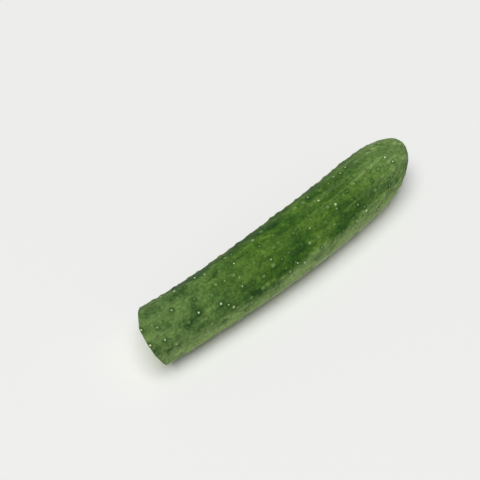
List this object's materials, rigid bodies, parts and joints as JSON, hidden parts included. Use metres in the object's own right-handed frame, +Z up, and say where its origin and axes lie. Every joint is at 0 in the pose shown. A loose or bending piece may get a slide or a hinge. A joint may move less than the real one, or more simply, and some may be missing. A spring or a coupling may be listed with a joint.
{
  "type": "cucumber",
  "caption": "Blossom half of a long, slim, warty green cucumber, gently bent, cut through on the slant and lying on its side.",
  "frame": {"origin": "on the surface that the cucumber lies on, under the middle of its box", "axes": "+X along the cucumber towards its blossom end, +Y towards the hollow side of its bend, +Z up as it lies"},
  "size_m": [0.2024, 0.039, 0.0353],
  "materials": {
    "skin": "satin",
    "flesh": "satin",
    "seed": "satin"
  },
  "bodies": {
    "root": {"cucumber": "skin"}
  },
  "joints": []
}
